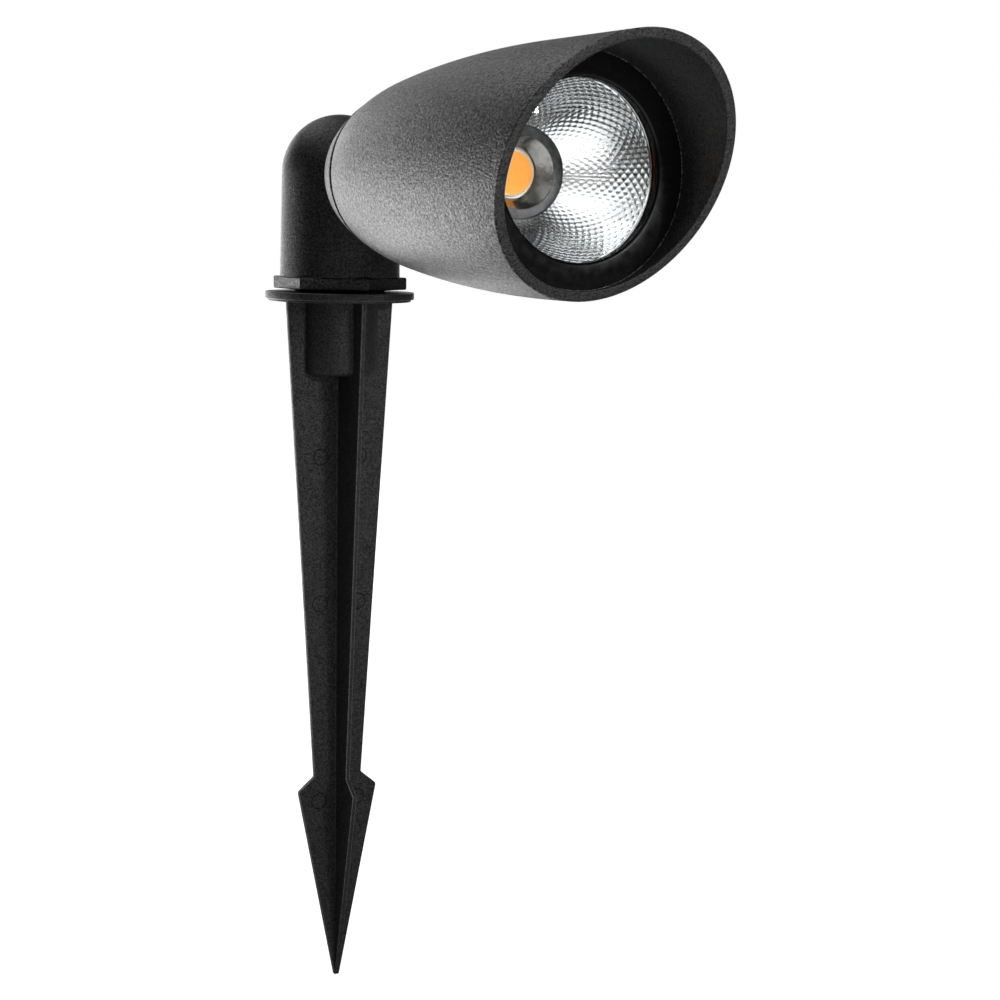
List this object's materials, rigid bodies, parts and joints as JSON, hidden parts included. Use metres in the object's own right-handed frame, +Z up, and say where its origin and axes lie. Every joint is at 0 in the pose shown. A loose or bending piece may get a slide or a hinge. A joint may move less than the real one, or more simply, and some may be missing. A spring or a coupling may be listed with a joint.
{
  "type": "garden spotlight on a ground stake",
  "caption": "Adjustable garden spotlight: a bullet-shaped lamp head with a slanted hood tilts on a hollow knuckle that turns on top of a finned ground stake.",
  "frame": {"origin": "centre of the underside of the stake's flange, which rests on the soil", "axes": "+Z up along the stake's axis, away from its tip; -Y towards the front of the lamp head; +X to the right of somebody who looks along the beam with the stake down"},
  "size_m": [0.0722, 0.2209, 0.3206],
  "materials": {
    "stake_plastic": "matte",
    "coated_metal": "matte",
    "coated_elbow": "matte",
    "nut_metal": "satin",
    "bezel_black": "gloss",
    "zinc_steel": "satin",
    "insert_brass": "satin",
    "seal_rubber": "matte",
    "friction_nylon": "matte",
    "gland_nylon": "matte",
    "bare_aluminium": "satin",
    "reflector_bright": "polished",
    "holder_metal": "satin",
    "lens_clear": "polished",
    "phosphor_orange": "matte",
    "dam_white": "matte",
    "thermal_grey": "matte",
    "board_green": "satin",
    "sleeve_white": "matte",
    "transformer_tape": "satin",
    "capacitor_black": "gloss",
    "winding_copper": "satin",
    "component_black": "matte",
    "connector_white": "matte",
    "wire_red": "matte",
    "wire_black": "matte"
  },
  "bodies": {
    "stake": {"ground_stake": "stake_plastic"},
    "knuckle": {"threaded_nipple": "coated_elbow", "flange_seal": "seal_rubber", "lock_nut": "nut_metal", "knuckle_post": "coated_elbow", "gland_body": "gland_nylon", "gland_seal": "seal_rubber", "friction_washer": "friction_nylon", "pivot_insert": "insert_brass", "pivot_spring_washer": "zinc_steel", "pivot_screw": "zinc_steel"},
    "head": {"knuckle_arm": "coated_elbow", "rear_cap": "coated_metal", "neck_seal": "seal_rubber", "neck_nut": "zinc_steel", "head_housing": "coated_metal", "driver_sleeve": "sleeve_white", "driver_board": "board_green", "driver_transformer": "transformer_tape", "driver_capacitor": "capacitor_black", "driver_inductor": "winding_copper", "driver_rectifier": "component_black", "driver_connector": "connector_white", "lead_positive": "wire_red", "lead_negative": "wire_black", "heat_spreader": "bare_aluminium", "spreader_screws": "zinc_steel", "thermal_pad": "thermal_grey", "cob_board": "bare_aluminium", "cob_phosphor": "phosphor_orange", "cob_dam": "dam_white", "cob_holder": "holder_metal", "holder_screws": "zinc_steel", "reflector": "reflector_bright", "lens_glass": "lens_clear", "lens_gasket": "seal_rubber", "bezel_ring": "bezel_black"}
  },
  "joints": [
    {"name": "pan", "type": "hinge", "parent": "stake", "child": "knuckle", "pos_m": [0, 0, 0], "axis": [0, 0, 1], "range_deg": [-170, 170]},
    {"name": "tilt", "type": "hinge", "parent": "knuckle", "child": "head", "pos_m": [0, 0, 0.0424], "axis": [-1, 0, 0], "range_deg": [0, 90]}
  ]
}
